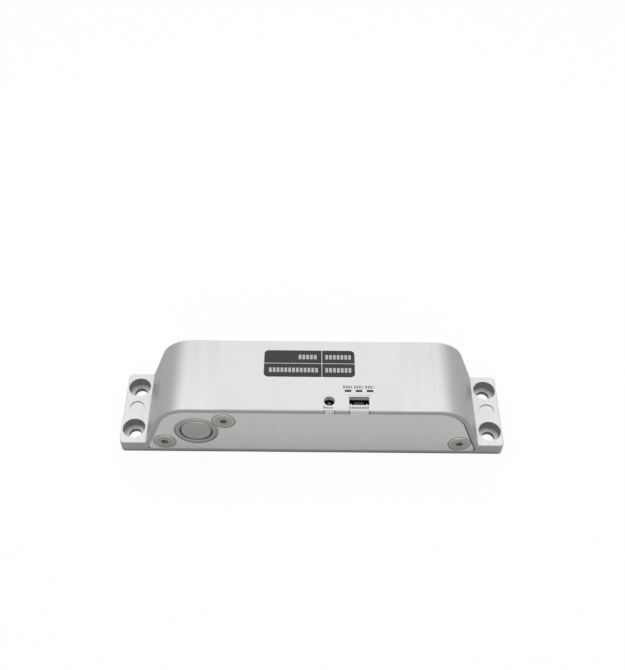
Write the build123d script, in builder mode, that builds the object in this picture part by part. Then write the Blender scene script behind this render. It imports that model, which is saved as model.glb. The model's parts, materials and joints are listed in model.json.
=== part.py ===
# Electric bolt lock: an aluminium extrusion with feet, closed by a cover at each open end.
# Inside, a solenoid turns a bell crank that pushes a round bolt out of the front.
# Millimetres. +Z is up, the underside is at Z = 0, the length runs along X, the bolt leaves
# towards -Y, and the origin is in the middle of the underside.
import os
from math import atan, cos, degrees, radians, sqrt, tan

from build123d import *

os.makedirs("parts", exist_ok=True)

# Housing extrusion
length = 196.0
depth = 43.2
height = 38.0
foot_len = 13.2
foot_t = 8.15
lean = 20.4
crown_r = 16.5
inner_crown_r = 14.0
inner_foot_r = 0.6
base_wall = 2.8
roof_wall = 2.75
side_wall = 2.35
foot_corner_r = 2.0
edge_break = 0.3

# Foot holes for M6 socket screws, and the shallow mark between them
foot_hole_in_x = 6.45
foot_hole_in_y = 8.75
foot_hole_r = 3.3
foot_bore_r = 5.75
foot_bore_depth = 5.6
foot_mark_r = 3.9
foot_mark_depth = 0.5

# Covers and their countersunk screws. The front cover lies low and to the left in the hollow,
# so that the joint beside it is widest at the right and at the top.
cover_t = 3.0
cover_gap = 0.27
cover_left = 0.25
cover_low = 0.17
cover_break = 0.25
cover_foot_r = 1.6
roof_port_drop = 6.75
corner_port_in = 7.0
corner_port_up = 6.9
port_r = 3.9
port_web = 5.0
m5_r = 2.5
m5_thread_gap = 0.05
m5_clear_r = 2.75
m5_head_proud = 0.35
m5_head_rim = 0.55
m5_socket_r = 1.85
m5_socket_depth = 1.9
m5_screw_len = 13.0
m5_hole_depth = 12.0

# Openings in the roof: the lamp's from the bolt, the selector's from the lamp, both from the front
lamp_side = 66.05
lamp_back = 5.8
lamp_hole_r = 2.7
lamp_tab_w = 4.6
selector_side = 14.6
selector_back = 6.05
selector_w = 9.9
selector_d = 4.85
selector_corner_r = 0.5
selector_tab_w = 9.3
tab_gap = 0.4
tab_t = 2.0

# Label film on the roof
label_side = 10.7
label_len = 91.6
label_t = 0.15
label_inset = 0.35
label_relief = 1.0

# Bolt, its bush and its cross pin
bolt_in = 26.8
bolt_above_mid = 0.375
bolt_r = 8.0
bolt_recess = 0.35
nose_break = 0.7
tail_break = 0.5
throw = 15.0
bumper_t = 3.5
bumper_r = 5.0
rest_gap = 0.3
run_gap = 0.05
bush_r = 10.6
bush_len = 11.65
bush_proud = 0.35
bush_flange_r = 11.4
bush_flange_t = 2.0
bush_break = 0.5
bush_screw_gap = 0.76
fork_gap = 3.6
fork_reach = 10.0
cross_pin_r = 2.0
cross_pin_back = 5.8
fit_gap = 0.02

# Bell crank and its post
crank_bolt_arm = 20.0
crank_rod_arm = 7.5
crank_t = 3.0
crank_arm_r = 4.8
crank_rod_tip_r = 2.9
crank_hub_r = 4.8
crank_slot_gap = 0.4
crank_slot_run = 0.7
post_r = 3.0
post_shoulder_r = 4.2
post_spigot_r = 2.5
post_above = 1.9
clip_r = 4.0
clip_t = 0.7
clip_groove_r = 2.4
clip_mouth = 3.8

# Mechanism plate and its screws
plate_t = 1.5
plate_port_gap = 4.0
plate_cover_gap = 0.6
plate_corner_r = 3.0
plate_screw_in_x = 17.0
plate_screw_in_y = 4.6
plate_screw_grip = 2.1
m3_r = 1.5
m3_hole_r = 1.55
m3_head_r = 2.8
m3_head_t = 1.7
m3_head_round = 0.55
m3_socket_r = 1.15
m3_socket_depth = 0.9

# Solenoid
sol_w = 17.0
sol_wall = 2.0
sol_inner_len = 32.0
bracket_t = 2.0
bracket_foot = 9.5
bracket_bend_r = 1.0
bracket_screw_in = 4.8
bracket_screw_y = 4.5
face_screw_out = 5.6
face_screw_len = 3.6
core_r = 4.0
core_len = 12.0
core_nose = 3.0
rod_r = 1.5
rod_grip = 6.0
plunger_gap = 0.08
plunger_air = 0.4
plunger_tail = 2.5
bobbin_tube_r = 5.0
bobbin_flange_r = 8.2
bobbin_flange_t = 1.2
coil_r = 7.8
spring_rest_len = 11.0
spring_r = 5.2
spring_wire_r = 0.4
spring_turns = 5.5
spring_seat_gap = 0.05
retainer_r = 6.4
retainer_t = 1.2
retainer_groove_r = 2.8
retainer_mouth = 5.6

# Clevis on the push rod
clevis_w = 7.0
clevis_depth = 6.0
clevis_nose = 3.0
clevis_nose_r = 2.4
clevis_tail = 7.2
clevis_gap = 3.8
clevis_slot_back = 5.2
clevis_pin_r = 1.5
clevis_to_core = 3.5

# Circuit board with what stands on it and hangs under it
board_t = 1.6
board_headroom = 8.25
board_edge_gap = 1.0
board_lamp_gap = 6.15
board_tail_gap = 1.8
board_step_gap = 1.5
board_corner_r = 0.6
standoff_r = 2.9
standoff_spigot_r = 2.0
standoff_spigot_len = 1.4
standoff_in = 4.0
lamp_standoff_in = 6.0
part_gap = 0.6
board_screw_len = 5.0
lamp_r = 1.5
lamp_rim_r = 1.85
lamp_rim_t = 0.8
lamp_body = 5.0
lamp_below_roof = 1.8
spacer_r = 2.1
pin_pitch = 2.54
pin_count = 4
pin_w = 0.64
pin_up = 8.1
header_t = 2.5
cap_w = 4.9
cap_d = 2.4
cap_h = 5.8
cap_lift = 0.3
relay_size = (19.0, 15.4, 12.6)
relay_in = 1.2
relay_edge_r = 0.8
capacitor_r = 4.0
capacitor_len = 11.5
capacitor_in = 3.6
capacitor_step = 1.0
terminal_size = (21.0, 7.4, 8.6)
terminal_in = 3.0
terminal_poles = 6
terminal_wall = 1.05
wire_pocket_h = 3.5
terminal_screw_r = 1.05
terminal_screw_deep = 1.4

# Cable outlet in the back cover
outlet_z = 12.0
cable_r = 3.0
grommet_neck_r = 5.0
grommet_flange_r = 7.2
grommet_flange_t = 1.2
grommet_lip_r = 6.4
grommet_lip_t = 1.5

# Reed switch behind the front cover
reed_side = 30.0
reed_holder_len = 17.0
reed_holder_d = 5.0
reed_holder_h = 7.0
reed_r = 1.35
reed_end_r = 0.9
reed_groove_h = 2.3
reed_len = 14.0
reed_lead_r = 0.3
reed_lead_len = 3.0

# Places worked out from the sizes above
front_y = -depth / 2
ceiling = height - roof_wall
shoulder_x = length / 2 - foot_len
foot_pitch_x = length - 2 * foot_hole_in_x
foot_pitch_y = depth - 2 * foot_hole_in_y
inner_back_y = depth / 2 - cover_t
front_plane = Plane.XZ.offset(depth / 2)
back_plane = Plane.XZ.offset(-depth / 2)
back_face = Plane(origin=(0, depth / 2, 0), x_dir=(-1, 0, 0), z_dir=(0, 1, 0))
roof_plane = Plane.XY.offset(height)
bolt_x = bolt_in - shoulder_x
bolt_z = (base_wall + ceiling) / 2 + bolt_above_mid
lamp_x = bolt_x + lamp_side
selector_x = lamp_x + selector_side
notch_d = tab_t + cover_gap
lamp_y = front_y + lamp_back
selector_y = front_y + selector_back
plate_top = base_wall + plate_t
bolt_nose_y = front_y - bush_proud + bolt_recess
bolt_tail_y = inner_back_y - bumper_t - rest_gap
pin_y = bolt_tail_y - cross_pin_back
pivot_x = bolt_x + crank_bolt_arm
pivot_y = pin_y - throw / 2
half_swing = atan(throw / 2 / crank_bolt_arm)
pin_radius = sqrt(crank_bolt_arm**2 + (throw / 2) ** 2)
rod_radius = crank_rod_arm / cos(half_swing)
rod_y = pivot_y + crank_rod_arm
rod_travel = throw * crank_rod_arm / crank_bolt_arm
clevis_pin_x = pivot_x + rod_travel / 2
core_x0 = clevis_pin_x + clevis_tail + clevis_to_core
bracket_x = core_x0 + core_nose - bracket_t
frame_x0 = bracket_x + bracket_t
frame_inner_x = frame_x0 + sol_wall
frame_x1 = frame_inner_x + sol_inner_len + sol_wall
core_x1 = frame_inner_x + core_len
plunger_x0 = core_x1 + rod_travel + plunger_air
retainer_x = frame_x1 + spring_rest_len
plunger_x1 = retainer_x + retainer_t + plunger_tail
board_top = ceiling - board_headroom
board_under = board_top - board_t
board_left = lamp_x - board_lamp_gap
board_front = board_edge_gap - inner_back_y
board_back = inner_back_y - board_edge_gap
board_step_x = plunger_x1 + board_tail_gap
board_step_y = rod_y - sol_w / 2 - board_step_gap
step_standoff_x = board_step_x + standoff_in
block_x = step_standoff_x + standoff_r + part_gap + terminal_size[0] / 2
far_standoff_x = block_x + max(terminal_size[0], relay_size[0]) / 2 + part_gap + standoff_r
board_right = far_standoff_x + standoff_in
header_left = selector_x - pin_count * pin_pitch / 2
standoff_places = [
    ((lamp_x + spacer_r + header_left) / 2, board_step_y - lamp_standoff_in),
    (step_standoff_x, board_back - standoff_in),
    (far_standoff_x, board_front + standoff_in),
    (far_standoff_x, board_back - standoff_in),
]
relay_at = (block_x, board_front + relay_in + relay_size[1] / 2)
terminal_at = (block_x, board_back - terminal_in - terminal_size[1] / 2)
capacitor_at = (board_step_x + capacitor_step, board_front + capacitor_in + capacitor_r)
outlet_x = block_x
reed_x = bolt_x + reed_side
m5_sink_r = m5_r + cover_t
m5_head_r = m5_sink_r - m5_head_rim + m5_head_proud
bush_to_screw = bush_r + bush_screw_gap + m5_sink_r
roof_port_z = ceiling - roof_port_drop
roof_port_x = bolt_x + sqrt(bush_to_screw**2 - (roof_port_z - bolt_z) ** 2)
corner_port_z = base_wall + corner_port_up


def outer_x(z):
    """Half width of the extrusion at a height on its slanted ends."""
    return shoulder_x - (z - foot_t) * tan(radians(lean))


def inner_x(z):
    """Half width of the hollow at a height."""
    return outer_x(z) - side_wall / cos(radians(lean))


# Places that depend on the slanted walls
corner_port_x = inner_x(corner_port_z) - corner_port_in
cover_screw_points = [
    (roof_port_x, roof_port_z),
    (-corner_port_x, corner_port_z),
    (corner_port_x, corner_port_z),
]
back_screw_points = [(-x, z) for x, z in cover_screw_points]
plate_half_x = corner_port_x - port_r - plate_port_gap
plate_screw_x = plate_half_x - plate_screw_in_x
plate_screw_y = inner_back_y - plate_screw_in_y


def hollow_outline(gap, foot_r):
    """Section of the hollow, smaller all round by a gap, with its lower corners rounded to foot_r."""
    with BuildSketch() as outline:
        with BuildLine():
            Polyline(
                (-inner_x(base_wall), base_wall),
                (inner_x(base_wall), base_wall),
                (inner_x(ceiling), ceiling),
                (-inner_x(ceiling), ceiling),
                close=True,
            )
        make_face()
        fillet(outline.vertices().group_by(Axis.Y)[-1], inner_crown_r)
        fillet(outline.vertices().group_by(Axis.Y)[0], foot_r + gap)
        if gap > 0:
            offset(amount=-gap, mode=Mode.REPLACE)
    return outline.sketch


def countersunk_screw():
    """Hex-socket countersunk screw, head face at Z = 0, shank down."""
    cone_end = -cover_t - m5_head_proud
    with BuildPart() as screw:
        with BuildSketch(Plane.XZ):
            with BuildLine():
                Polyline(
                    (0, 0),
                    (m5_head_r - edge_break, 0),
                    (m5_head_r, -edge_break),
                    (m5_head_r, -m5_head_rim),
                    (m5_r, cone_end),
                    (m5_r, edge_break - m5_screw_len),
                    (m5_r - edge_break, -m5_screw_len),
                    (0, -m5_screw_len),
                    close=True,
                )
            make_face()
        revolve(axis=Axis.Z)
        with BuildSketch():
            RegularPolygon(m5_socket_r, 6)
        extrude(amount=-m5_socket_depth, mode=Mode.SUBTRACT)
    return screw.part


def pan_screw(shank):
    """Small round-head screw, head seat at Z = 0, shank down."""
    with BuildPart() as screw:
        with BuildSketch():
            Circle(m3_head_r)
        extrude(amount=m3_head_t)
        fillet(screw.edges().group_by(Axis.Z)[-1], m3_head_round)
        with BuildSketch():
            Circle(m3_r)
        extrude(amount=-shank)
        with BuildSketch(Plane.XY.offset(m3_head_t)):
            RegularPolygon(m3_socket_r, 6)
        extrude(amount=-m3_socket_depth, mode=Mode.SUBTRACT)
    return screw.part


# Housing
with BuildPart() as housing:
    with BuildSketch(back_plane) as profile:
        with BuildLine():
            Polyline(
                (-length / 2, 0),
                (length / 2, 0),
                (length / 2, foot_t),
                (outer_x(foot_t), foot_t),
                (outer_x(height), height),
                (-outer_x(height), height),
                (-outer_x(foot_t), foot_t),
                (-length / 2, foot_t),
                close=True,
            )
        make_face()
        fillet(profile.vertices().group_by(Axis.Y)[-1], crown_r)
    extrude(amount=depth)
    fillet(housing.edges().filter_by(Axis.Z), foot_corner_r)
    chamfer(housing.faces().filter_by(Axis.Y).edges(), edge_break)
    with BuildSketch(back_plane):
        add(hollow_outline(0, inner_foot_r))
    extrude(amount=depth, mode=Mode.SUBTRACT)
    with BuildSketch(back_plane.offset(cover_t)):
        with Locations(*cover_screw_points):
            Circle(port_r)
        with Locations((roof_port_x, roof_port_z)):
            Rectangle(port_web, height - roof_port_z - roof_wall / 2, align=(Align.CENTER, Align.MIN))
        with Locations((-corner_port_x, corner_port_z), (corner_port_x, corner_port_z)):
            Rectangle(port_web, corner_port_z - base_wall / 2, align=(Align.CENTER, Align.MAX))
        web_reach = inner_x(corner_port_z) + side_wall / 2 - corner_port_x
        with Locations((-corner_port_x, corner_port_z)):
            Rectangle(web_reach, port_web, align=(Align.MAX, Align.CENTER))
        with Locations((corner_port_x, corner_port_z)):
            Rectangle(web_reach, port_web, align=(Align.MIN, Align.CENTER))
    extrude(amount=depth - 2 * cover_t)
    with BuildSketch(front_plane.offset(-cover_t), back_plane.offset(cover_t + m5_hole_depth)):
        with Locations(*cover_screw_points):
            Circle(m5_r + m5_thread_gap)
    extrude(amount=-m5_hole_depth, mode=Mode.SUBTRACT)
    with BuildSketch(roof_plane):
        with Locations((lamp_x, lamp_y)):
            Circle(lamp_hole_r)
        with Locations((selector_x, selector_y)):
            RectangleRounded(selector_w, selector_d, selector_corner_r)
        with Locations((lamp_x, front_y)):
            Rectangle(lamp_tab_w + 2 * tab_gap, 2 * notch_d)
        with Locations((selector_x, front_y)):
            Rectangle(selector_tab_w + 2 * tab_gap, 2 * notch_d)
    extrude(amount=-roof_wall - edge_break, mode=Mode.SUBTRACT)
    with Locations(Plane.XY.offset(foot_t)):
        with GridLocations(foot_pitch_x, foot_pitch_y, 2, 2):
            CounterBoreHole(foot_hole_r, foot_bore_r, foot_bore_depth, foot_t)
    with BuildSketch(Plane.XY.offset(foot_t)):
        with GridLocations(foot_pitch_x, 0, 2, 1):
            Circle(foot_mark_r)
    extrude(amount=-foot_mark_depth, mode=Mode.SUBTRACT)
    with BuildSketch(Plane.XY.offset(base_wall)):
        with GridLocations(2 * plate_screw_x, 2 * plate_screw_y, 2, 2):
            Circle(m3_hole_r)
    extrude(amount=-plate_screw_grip, mode=Mode.SUBTRACT)

housing.part.label = "housing"
export_step(housing.part, "parts/housing.step")

# Label film
with BuildPart() as label_film:
    with BuildSketch(roof_plane):
        with Locations((bolt_x + label_side, 0)):
            Rectangle(label_len, depth - 2 * label_inset, align=(Align.MIN, Align.CENTER))
        with Locations((lamp_x, lamp_y)):
            Circle(lamp_hole_r + label_relief, mode=Mode.SUBTRACT)
        with Locations((selector_x, selector_y)):
            RectangleRounded(
                selector_w + 2 * label_relief,
                selector_d + 2 * label_relief,
                selector_corner_r + label_relief,
                mode=Mode.SUBTRACT,
            )
    extrude(amount=label_t)

label_film.part.label = "label_film"
export_step(label_film.part, "parts/label_film.step")

# Front cover, with two tabs that fill the notches of the roof
tab_top = height - edge_break / 2
tab_h = tab_top - ceiling + cover_gap + cover_low + 2 * cover_break
with BuildPart() as front_cover:
    with BuildSketch(front_plane):
        with Locations((-cover_left, -cover_low)):
            add(hollow_outline(cover_gap, cover_foot_r))
    extrude(amount=-cover_t)
    chamfer(front_cover.faces().sort_by(Axis.Y)[0].edges(), cover_break)
    with BuildSketch(front_plane):
        with Locations((lamp_x, tab_top)):
            Rectangle(lamp_tab_w, tab_h, align=(Align.CENTER, Align.MAX))
        with Locations((selector_x, tab_top)):
            Rectangle(selector_tab_w, tab_h, align=(Align.CENTER, Align.MAX))
    extrude(amount=-tab_t)
    with BuildSketch(front_plane):
        with Locations((bolt_x, bolt_z)):
            Circle(bush_r + fit_gap)
    extrude(amount=-cover_t, mode=Mode.SUBTRACT)
    with Locations(front_plane):
        with Locations(*cover_screw_points):
            CounterSinkHole(m5_clear_r, m5_sink_r, cover_t, 90)

front_cover.part.label = "front_cover"
export_step(front_cover.part, "parts/front_cover.step")

# Back cover, with the cable outlet
with BuildPart() as back_cover:
    with BuildSketch(back_plane):
        add(hollow_outline(cover_gap, cover_foot_r))
    extrude(amount=cover_t)
    chamfer(back_cover.faces().sort_by(Axis.Y)[-1].edges(), cover_break)
    with BuildSketch(back_plane):
        with Locations((outlet_x, outlet_z)):
            Circle(grommet_neck_r + fit_gap)
    extrude(amount=cover_t, mode=Mode.SUBTRACT)
    with BuildSketch(back_plane):
        with Locations((outlet_x, outlet_z)):
            Circle(grommet_flange_r + fit_gap)
    extrude(amount=grommet_flange_t, mode=Mode.SUBTRACT)
    with Locations(back_face):
        with Locations(*back_screw_points):
            CounterSinkHole(m5_clear_r, m5_sink_r, cover_t, 90)

back_cover.part.label = "back_cover"
export_step(back_cover.part, "parts/back_cover.step")

# Cover screws
with BuildPart() as front_cover_screws:
    with Locations(front_plane.offset(m5_head_proud)):
        with Locations(*cover_screw_points):
            add(countersunk_screw())

front_cover_screws.part.label = "front_cover_screws"
export_step(front_cover_screws.part, "parts/front_cover_screws.step")

with BuildPart() as back_cover_screws:
    with Locations(back_face.offset(m5_head_proud)):
        with Locations(*back_screw_points):
            add(countersunk_screw())

back_cover_screws.part.label = "back_cover_screws"
export_step(back_cover_screws.part, "parts/back_cover_screws.step")

# Guide bush, pressed into the front cover from inside
with BuildPart() as bolt_guide_bush:
    with BuildSketch(front_plane.offset(bush_proud)):
        with Locations((bolt_x, bolt_z)):
            Circle(bush_r)
    extrude(amount=-bush_len)
    with BuildSketch(front_plane.offset(-cover_t)):
        with Locations((bolt_x, bolt_z)):
            Circle(bush_flange_r)
    extrude(amount=-bush_flange_t)
    with BuildSketch(front_plane.offset(bush_proud)):
        with Locations((bolt_x, bolt_z)):
            Circle(bolt_r + run_gap)
    extrude(amount=-bush_len, mode=Mode.SUBTRACT)
    chamfer(bolt_guide_bush.faces().sort_by(Axis.Y)[0].edges(), bush_break)

bolt_guide_bush.part.label = "bolt_guide_bush"
export_step(bolt_guide_bush.part, "parts/bolt_guide_bush.step")

# Bolt, forked at its tail for the crank
with BuildPart() as bolt:
    with BuildSketch(front_plane.offset(bush_proud - bolt_recess)):
        with Locations((bolt_x, bolt_z)):
            Circle(bolt_r)
    extrude(amount=bolt_nose_y - bolt_tail_y)
    chamfer(bolt.faces().sort_by(Axis.Y)[0].edges(), nose_break)
    chamfer(bolt.faces().sort_by(Axis.Y)[-1].edges(), tail_break)
    with BuildSketch(Plane.XY.offset(bolt_z)):
        with Locations((bolt_x, pin_y - fork_reach)):
            Rectangle(
                3 * bolt_r,
                bolt_tail_y - pin_y + fork_reach + tail_break,
                align=(Align.CENTER, Align.MIN),
            )
    extrude(amount=fork_gap / 2, both=True, mode=Mode.SUBTRACT)
    with BuildSketch(Plane.XY.offset(bolt_z)):
        with Locations((bolt_x, pin_y)):
            Circle(cross_pin_r + fit_gap)
    extrude(amount=2 * bolt_r, both=True, mode=Mode.SUBTRACT)

bolt.part.label = "bolt"
export_step(bolt.part, "parts/bolt.step")

# Cross pin, flush with the bolt above and below
with BuildPart() as bolt_cross_pin:
    with BuildSketch(Plane.XY.offset(bolt_z)):
        with Locations((bolt_x, pin_y)):
            Circle(cross_pin_r)
    extrude(amount=sqrt(bolt_r**2 - cross_pin_r**2) - 2 * run_gap, both=True)
    chamfer(bolt_cross_pin.faces().filter_by(Axis.Z).edges(), 2 * run_gap)

bolt_cross_pin.part.label = "bolt_cross_pin"
export_step(bolt_cross_pin.part, "parts/bolt_cross_pin.step")

# Rubber bumper on the back cover, which the bolt rests against
with BuildPart() as bolt_bumper:
    with BuildSketch(back_plane.offset(cover_t)):
        with Locations((bolt_x, bolt_z)):
            Circle(bumper_r)
    extrude(amount=bumper_t)
    fillet(bolt_bumper.faces().sort_by(Axis.Y)[0].edges(), edge_break)

bolt_bumper.part.label = "bolt_bumper"
export_step(bolt_bumper.part, "parts/bolt_bumper.step")

# Mechanism plate
with BuildPart() as mechanism_plate:
    with BuildSketch(Plane.XY.offset(base_wall)):
        RectangleRounded(2 * plate_half_x, 2 * (inner_back_y - plate_cover_gap), plate_corner_r)
        with GridLocations(2 * plate_screw_x, 2 * plate_screw_y, 2, 2):
            Circle(m3_hole_r, mode=Mode.SUBTRACT)
        with Locations((pivot_x, pivot_y)):
            Circle(post_spigot_r + fit_gap, mode=Mode.SUBTRACT)
        with Locations(*standoff_places):
            Circle(standoff_spigot_r + fit_gap, mode=Mode.SUBTRACT)
        with Locations((bracket_x - bracket_screw_in, rod_y)):
            with GridLocations(0, 2 * bracket_screw_y, 1, 2):
                Circle(m3_hole_r, mode=Mode.SUBTRACT)
    extrude(amount=plate_t)

mechanism_plate.part.label = "mechanism_plate"
export_step(mechanism_plate.part, "parts/mechanism_plate.step")

with BuildPart() as mechanism_plate_screws:
    with Locations(Plane.XY.offset(plate_top)):
        with GridLocations(2 * plate_screw_x, 2 * plate_screw_y, 2, 2):
            add(pan_screw(plate_t + plate_screw_grip - 2 * run_gap))

mechanism_plate_screws.part.label = "mechanism_plate_screws"
export_step(mechanism_plate_screws.part, "parts/mechanism_plate_screws.step")

# Pivot post, riveted into the plate
hub_under = bolt_z - crank_t / 2
hub_top = bolt_z + crank_t / 2
clip_z = hub_top + run_gap
with BuildPart() as pivot_post:
    with BuildSketch(Plane.XY.offset(base_wall)):
        with Locations((pivot_x, pivot_y)):
            Circle(post_spigot_r)
    extrude(amount=plate_t)
    with BuildSketch(Plane.XY.offset(plate_top)):
        with Locations((pivot_x, pivot_y)):
            Circle(post_shoulder_r)
    extrude(amount=hub_under - run_gap - plate_top)
    with BuildSketch(Plane.XY.offset(plate_top)):
        with Locations((pivot_x, pivot_y)):
            Circle(post_r)
    extrude(amount=hub_top + post_above - plate_top)
    chamfer(pivot_post.faces().sort_by(Axis.Z)[-1].edges(), edge_break)
    with BuildSketch(Plane.XY.offset(clip_z)):
        with Locations((pivot_x, pivot_y)):
            Circle(post_r)
            Circle(clip_groove_r, mode=Mode.SUBTRACT)
    extrude(amount=clip_t + run_gap, mode=Mode.SUBTRACT)

pivot_post.part.label = "pivot_post"
export_step(pivot_post.part, "parts/pivot_post.step")

with BuildPart() as pivot_clip:
    with BuildSketch(Plane.XY.offset(clip_z)):
        with Locations((pivot_x, pivot_y)):
            Circle(clip_r)
            Circle(clip_groove_r + fit_gap, mode=Mode.SUBTRACT)
        with Locations((pivot_x + clip_r, pivot_y)):
            Rectangle(2 * clip_r, clip_mouth, mode=Mode.SUBTRACT)
    extrude(amount=clip_t)

pivot_clip.part.label = "pivot_clip"
export_step(pivot_clip.part, "parts/pivot_clip.step")

# Bell crank: a long slotted arm in the bolt's fork and a short one in the rod's clevis
bolt_arm_turn = 180 - degrees(half_swing)
rod_arm_turn = 90 - degrees(half_swing)
bolt_arm_at = Location((pivot_x, pivot_y, 0), (0, 0, bolt_arm_turn))
rod_arm_at = Location((pivot_x, pivot_y, 0), (0, 0, rod_arm_turn))
bolt_slot_mid = (pin_radius + crank_bolt_arm) / 2
bolt_slot_run = pin_radius - crank_bolt_arm + 2 * crank_slot_run
rod_slot_mid = (rod_radius + crank_rod_arm) / 2
rod_slot_run = rod_radius - crank_rod_arm + crank_slot_run
with BuildPart() as bell_crank:
    with BuildSketch(Plane.XY.offset(hub_under)):
        with Locations((pivot_x, pivot_y)):
            Circle(crank_hub_r)
        with Locations(bolt_arm_at):
            with Locations((bolt_slot_mid / 2 + crank_slot_run, 0)):
                SlotCenterToCenter(bolt_slot_mid + 2 * crank_slot_run, 2 * crank_arm_r)
        with Locations(rod_arm_at):
            with Locations((rod_slot_mid / 2, 0)):
                SlotCenterToCenter(rod_slot_mid, 2 * crank_rod_tip_r)
    extrude(amount=crank_t)
    with BuildSketch(Plane.XY.offset(hub_under)):
        with Locations((pivot_x, pivot_y)):
            Circle(post_r + run_gap)
        with Locations(bolt_arm_at):
            with Locations((bolt_slot_mid, 0)):
                SlotCenterToCenter(bolt_slot_run, 2 * (cross_pin_r + crank_slot_gap))
        with Locations(rod_arm_at):
            with Locations((rod_slot_mid, 0)):
                SlotCenterToCenter(rod_slot_run, 2 * (clevis_pin_r + rest_gap))
    extrude(amount=crank_t, mode=Mode.SUBTRACT)

bell_crank.part.label = "bell_crank"
export_step(bell_crank.part, "parts/bell_crank.step")

# Folded bracket that carries the solenoid by its nose
bracket_top = bolt_z + sol_w / 2
with BuildPart() as solenoid_bracket:
    with BuildSketch(Plane.XZ.offset(-rod_y - sol_w / 2)) as fold:
        with BuildLine():
            Polyline(
                (bracket_x + bracket_t, plate_top),
                (bracket_x - bracket_foot, plate_top),
                (bracket_x - bracket_foot, plate_top + bracket_t),
                (bracket_x, plate_top + bracket_t),
                (bracket_x, bracket_top),
                (bracket_x + bracket_t, bracket_top),
                close=True,
            )
        make_face()
        corners = fold.vertices()
        fillet(corners.sort_by_distance((bracket_x + bracket_t, plate_top))[0], bracket_t + bracket_bend_r)
        corners = fold.vertices()
        fillet(corners.sort_by_distance((bracket_x, plate_top + bracket_t))[0], bracket_bend_r)
    extrude(amount=sol_w)
    with BuildSketch(Plane.YZ.offset(bracket_x)):
        with Locations((rod_y, bolt_z)):
            Circle(core_r + fit_gap)
            with Locations((-face_screw_out, -face_screw_out), (face_screw_out, face_screw_out)):
                Circle(m3_hole_r)
    extrude(amount=bracket_t, mode=Mode.SUBTRACT)
    with BuildSketch(Plane.XY.offset(plate_top)):
        with Locations((bracket_x - bracket_screw_in, rod_y)):
            with GridLocations(0, 2 * bracket_screw_y, 1, 2):
                Circle(m3_hole_r)
    extrude(amount=bracket_t, mode=Mode.SUBTRACT)

solenoid_bracket.part.label = "solenoid_bracket"
export_step(solenoid_bracket.part, "parts/solenoid_bracket.step")

with BuildPart() as bracket_screws:
    with Locations(Plane.XY.offset(plate_top + bracket_t)):
        with Locations((bracket_x - bracket_screw_in, rod_y)):
            with GridLocations(0, 2 * bracket_screw_y, 1, 2):
                add(pan_screw(bracket_t + plate_t - 2 * run_gap))

bracket_screws.part.label = "bracket_screws"
export_step(bracket_screws.part, "parts/bracket_screws.step")

# Solenoid frame: a steel strip folded to a U, open at the top
frame_under = bolt_z - sol_w / 2 - sol_wall
with BuildPart() as solenoid_frame:
    with BuildSketch(Plane.XZ.offset(-rod_y - sol_w / 2)) as strip:
        with BuildLine():
            Polyline(
                (frame_x0, bracket_top),
                (frame_x0, frame_under),
                (frame_x1, frame_under),
                (frame_x1, bracket_top),
                (frame_x1 - sol_wall, bracket_top),
                (frame_x1 - sol_wall, frame_under + sol_wall),
                (frame_inner_x, frame_under + sol_wall),
                (frame_inner_x, bracket_top),
                close=True,
            )
        make_face()
        fillet(strip.vertices().group_by(Axis.Y)[0], sol_wall)
    extrude(amount=sol_w)
    with BuildSketch(Plane.YZ.offset(frame_x0)):
        with Locations((rod_y, bolt_z)):
            Circle(core_r + fit_gap)
            with Locations((-face_screw_out, -face_screw_out), (face_screw_out, face_screw_out)):
                Circle(m3_hole_r)
    extrude(amount=sol_wall, mode=Mode.SUBTRACT)
    with BuildSketch(Plane.YZ.offset(frame_x1 - sol_wall)):
        with Locations((rod_y, bolt_z)):
            Circle(core_r + plunger_gap)
    extrude(amount=sol_wall, mode=Mode.SUBTRACT)

solenoid_frame.part.label = "solenoid_frame"
export_step(solenoid_frame.part, "parts/solenoid_frame.step")

face_screw_plane = Plane(origin=(bracket_x, rod_y, bolt_z), x_dir=(0, -1, 0), z_dir=(-1, 0, 0))
with BuildPart() as solenoid_screws:
    with Locations(face_screw_plane):
        with Locations((-face_screw_out, face_screw_out), (face_screw_out, -face_screw_out)):
            add(pan_screw(face_screw_len))

solenoid_screws.part.label = "solenoid_screws"
export_step(solenoid_screws.part, "parts/solenoid_screws.step")

# Bobbin and winding
bobbin_x0 = frame_inner_x
bobbin_x1 = frame_inner_x + sol_inner_len
with BuildPart() as solenoid_bobbin:
    with BuildSketch(Plane.YZ.offset(bobbin_x0)):
        with Locations((rod_y, bolt_z)):
            Circle(bobbin_tube_r)
    extrude(amount=sol_inner_len)
    with BuildSketch(Plane.YZ.offset(bobbin_x0), Plane.YZ.offset(bobbin_x1 - bobbin_flange_t)):
        with Locations((rod_y, bolt_z)):
            Circle(bobbin_flange_r)
    extrude(amount=bobbin_flange_t)
    with BuildSketch(Plane.YZ.offset(bobbin_x0)):
        with Locations((rod_y, bolt_z)):
            Circle(core_r + plunger_gap)
    extrude(amount=sol_inner_len, mode=Mode.SUBTRACT)

solenoid_bobbin.part.label = "solenoid_bobbin"
export_step(solenoid_bobbin.part, "parts/solenoid_bobbin.step")

with BuildPart() as solenoid_coil:
    with BuildSketch(Plane.YZ.offset(bobbin_x0 + bobbin_flange_t)):
        with Locations((rod_y, bolt_z)):
            Circle(coil_r)
            Circle(bobbin_tube_r, mode=Mode.SUBTRACT)
    extrude(amount=sol_inner_len - 2 * bobbin_flange_t)

solenoid_coil.part.label = "solenoid_coil"
export_step(solenoid_coil.part, "parts/solenoid_coil.step")

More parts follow.
